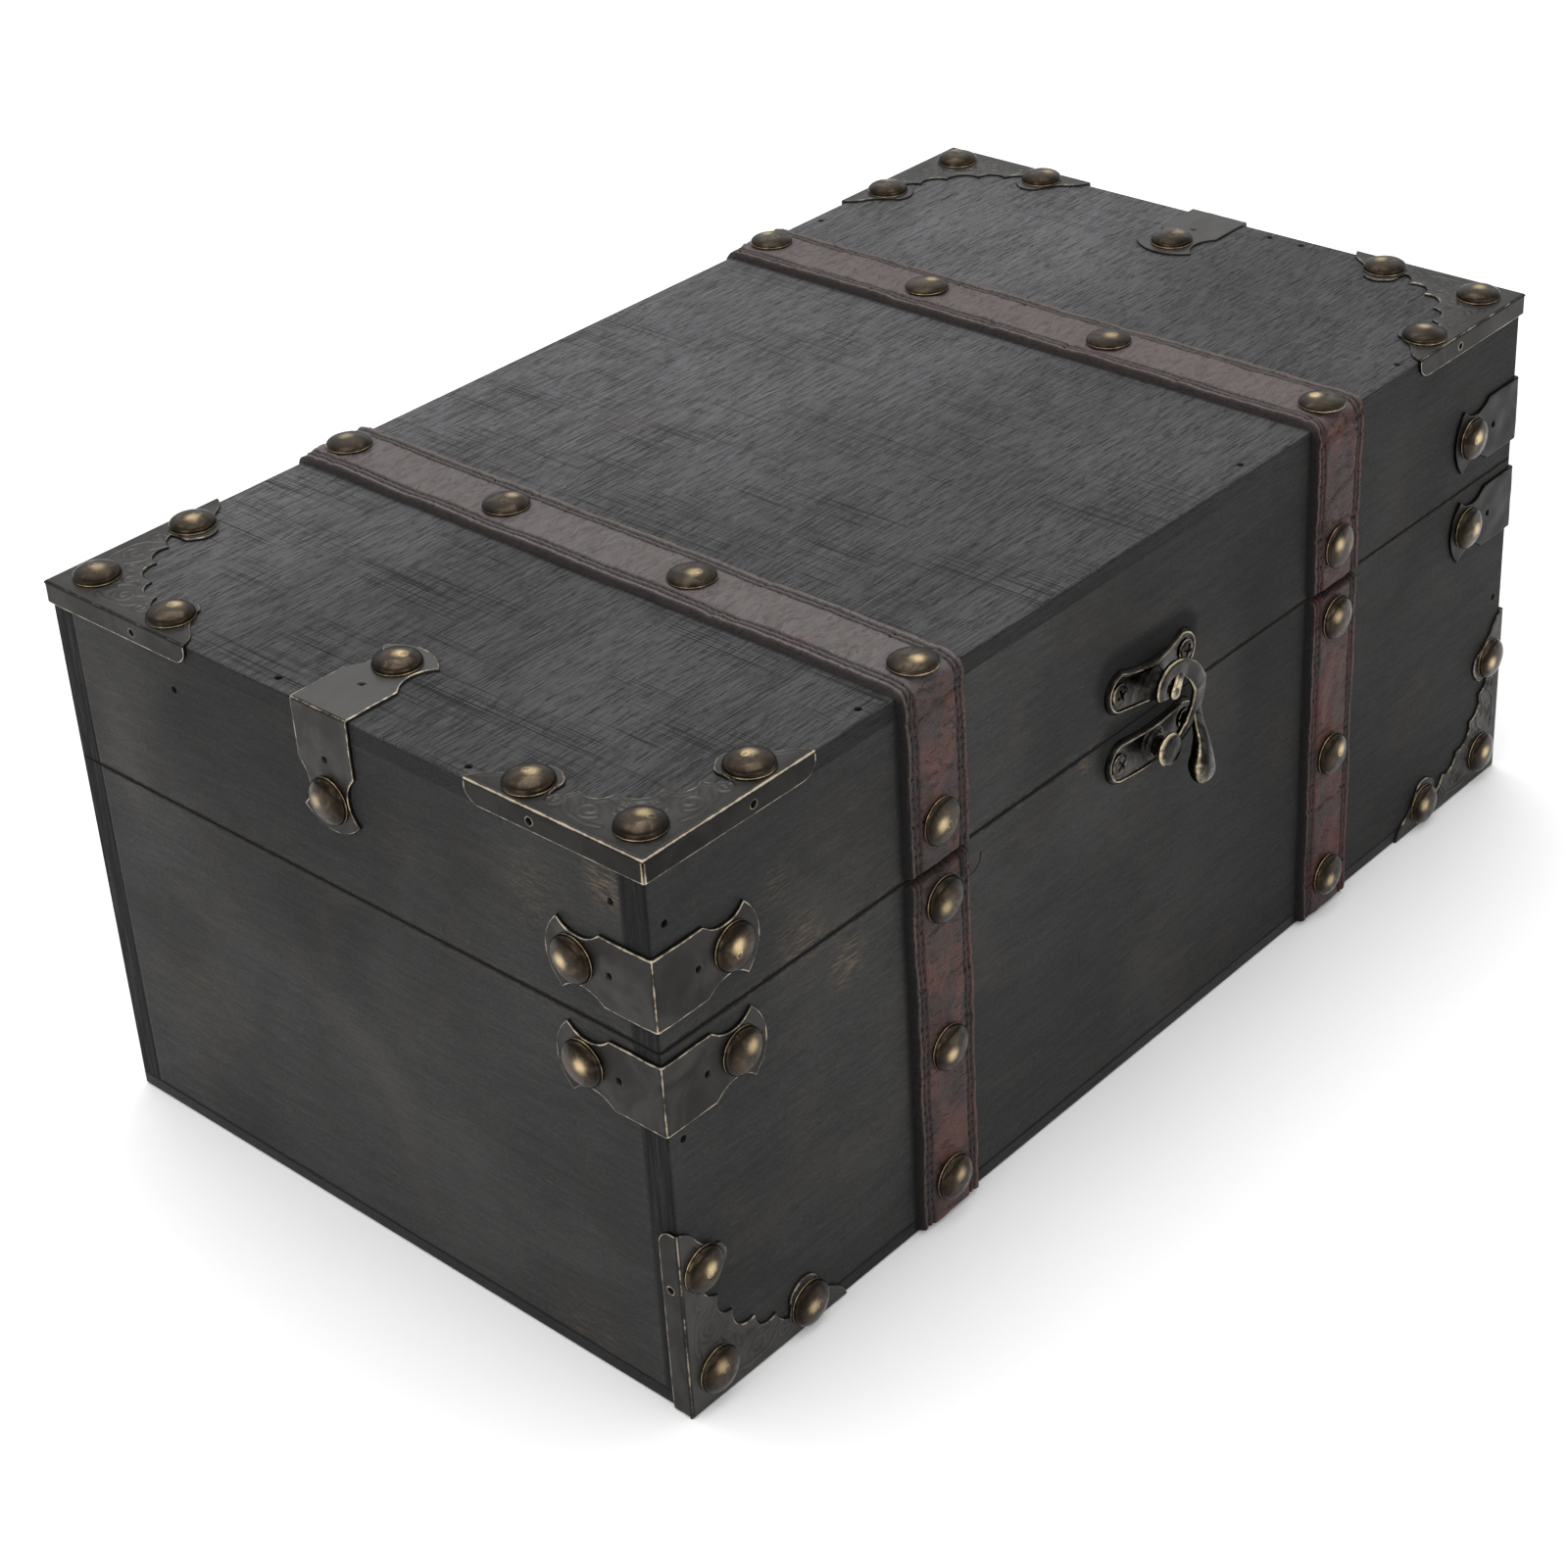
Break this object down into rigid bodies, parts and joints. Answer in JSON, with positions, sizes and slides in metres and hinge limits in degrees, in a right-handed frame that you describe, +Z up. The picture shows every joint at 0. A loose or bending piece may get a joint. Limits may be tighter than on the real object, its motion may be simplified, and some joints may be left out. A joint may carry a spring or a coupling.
{
  "type": "treasure chest box",
  "caption": "Wooden treasure chest box with a hinged flat lid, metal corners, leather straps, domed tacks and a swing hook latch.",
  "frame": {"origin": "centre of the wooden underside, on the face that the chest stands on", "axes": "+X along the length, -Y to the front with the latch, +Z up"},
  "size_m": [0.3376, 0.2061, 0.1495],
  "materials": {
    "stained_wood": "dark stained, worn, satin",
    "strap_leather": "dark brown, waxed, creased",
    "pressed_bronze": "antique bronze, bright worn edges",
    "tack_brass": "antique brass, patched",
    "latch_bronze": "antique bronze, rubbed",
    "hinge_brass": "antique brass",
    "nail_steel": "dark, sunk"
  },
  "bodies": {
    "base": {"base_angle_strap_left": "pressed_bronze", "base_angle_strap_right": "pressed_bronze", "base_angle_tacks": "tack_brass", "base_back_panel": "stained_wood", "base_bottom_panel": "stained_wood", "base_corner_bracket_left": "pressed_bronze", "base_corner_bracket_right": "pressed_bronze", "base_corner_tacks": "tack_brass", "base_front_panel": "stained_wood", "base_left_panel": "stained_wood", "base_nails": "nail_steel", "base_right_panel": "stained_wood", "base_strap_back_left": "strap_leather", "base_strap_back_right": "strap_leather", "base_strap_back_tacks": "tack_brass", "base_strap_front_left": "strap_leather", "base_strap_front_right": "strap_leather", "base_strap_front_tacks": "tack_brass", "hinge_base_leaf_left": "hinge_brass", "hinge_base_leaf_right": "hinge_brass", "hinge_base_screws": "hinge_brass", "hinge_pin_left": "hinge_brass", "hinge_pin_right": "hinge_brass", "latch_keeper_plate": "latch_bronze", "latch_keeper_screws": "latch_bronze", "latch_keeper_stud": "latch_bronze"},
    "lid": {"hinge_lid_leaf_left": "hinge_brass", "hinge_lid_leaf_right": "hinge_brass", "hinge_lid_screws": "hinge_brass", "latch_hook_plate": "latch_bronze", "latch_hook_screws": "latch_bronze", "latch_rivet": "latch_bronze", "lid_angle_strap_left": "pressed_bronze", "lid_angle_strap_right": "pressed_bronze", "lid_angle_tacks": "tack_brass", "lid_back_panel": "stained_wood", "lid_corner_bracket_back_left": "pressed_bronze", "lid_corner_bracket_back_right": "pressed_bronze", "lid_corner_bracket_front_left": "pressed_bronze", "lid_corner_bracket_front_right": "pressed_bronze", "lid_corner_tacks": "tack_brass", "lid_end_strap_left": "pressed_bronze", "lid_end_strap_right": "pressed_bronze", "lid_end_tacks": "tack_brass", "lid_front_panel": "stained_wood", "lid_left_panel": "stained_wood", "lid_nails": "nail_steel", "lid_right_panel": "stained_wood", "lid_strap_left": "strap_leather", "lid_strap_right": "strap_leather", "lid_strap_tacks": "tack_brass", "lid_top_panel": "stained_wood"},
    "hook": {"latch_hook": "latch_bronze"}
  },
  "joints": [
    {"name": "lid_hinge", "type": "hinge", "parent": "base", "child": "lid", "pos_m": [0, 0.0973, 0.0975], "axis": [-1, 0, 0], "range_deg": [0, 110]},
    {"name": "hook_swing", "type": "hinge", "parent": "lid", "child": "hook", "pos_m": [0.0012, -0.1004, 0.1052], "axis": [0, -1, 0], "range_deg": [0, 110]}
  ]
}
